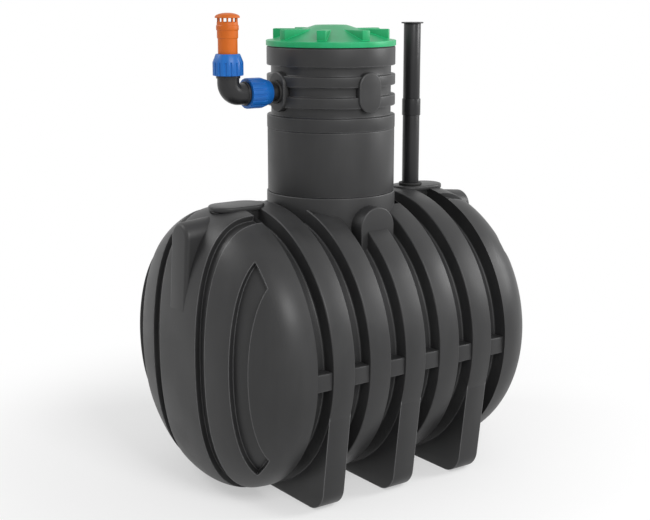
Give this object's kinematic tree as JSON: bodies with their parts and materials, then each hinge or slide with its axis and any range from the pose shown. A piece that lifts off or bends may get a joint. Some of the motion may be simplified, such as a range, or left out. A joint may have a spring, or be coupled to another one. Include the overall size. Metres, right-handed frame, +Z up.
{
  "type": "underground fuel storage tank with manway neck",
  "caption": "Ribbed horizontal plastic storage tank with domed ends, feet, a manway neck with a screw lid, a side vent and a riser pipe.",
  "frame": {"origin": "on the ground under the neck's axis, midway between the ends and between the long sides", "axes": "+X along the barrel towards the end with the riser pipe, +Z up, +Y towards the back long side"},
  "size_m": [2.156, 1.6498, 2.735],
  "materials": {
    "tank_black": "satin moulded polyethylene, dark grey-black",
    "lid_green": "green moulded plastic, slight sheen",
    "nut_blue": "blue moulded polypropylene",
    "vent_orange": "orange-brown sewer pipe plastic",
    "pipe_black": "black pipe plastic, slight sheen",
    "seal_rubber": "black sealing rubber"
  },
  "bodies": {
    "tank": {"arch_boss_back": "tank_black", "arch_boss_front": "tank_black", "end_dome_far": "tank_black", "end_dome_near": "tank_black", "feet_far": "tank_black", "feet_middle": "tank_black", "feet_near": "tank_black", "lid_gasket": "seal_rubber", "lifting_lug_far": "tank_black", "lifting_lug_near": "tank_black", "neck_base": "tank_black", "neck_boss_back": "tank_black", "neck_boss_far": "tank_black", "neck_boss_front": "tank_black", "neck_boss_near": "tank_black", "neck_extension": "tank_black", "neck_wall": "tank_black", "pad_far": "tank_black", "pad_near": "tank_black", "rib_ties_back": "tank_black", "rib_ties_front": "tank_black", "riser_cap": "pipe_black", "riser_coupling": "pipe_black", "riser_grommet": "seal_rubber", "riser_pipe_lower": "pipe_black", "riser_pipe_upper": "pipe_black", "shell_back": "tank_black", "shell_bottom": "tank_black", "shell_front": "tank_black", "shell_lower_back": "tank_black", "shell_lower_front": "tank_black", "shell_top": "tank_black", "shell_upper_back": "tank_black", "shell_upper_front": "tank_black", "vent_cap": "vent_orange", "vent_elbow": "pipe_black", "vent_grommet": "seal_rubber", "vent_nut_lower": "nut_blue", "vent_nut_upper": "nut_blue", "vent_pipe": "vent_orange", "vent_stub": "pipe_black"},
    "lid": {"lid": "lid_green"}
  },
  "joints": [
    {"name": "lid_lift", "type": "slide", "parent": "tank", "child": "lid", "axis": [0, 0, 1], "range_m": [0, 0.35]}
  ]
}
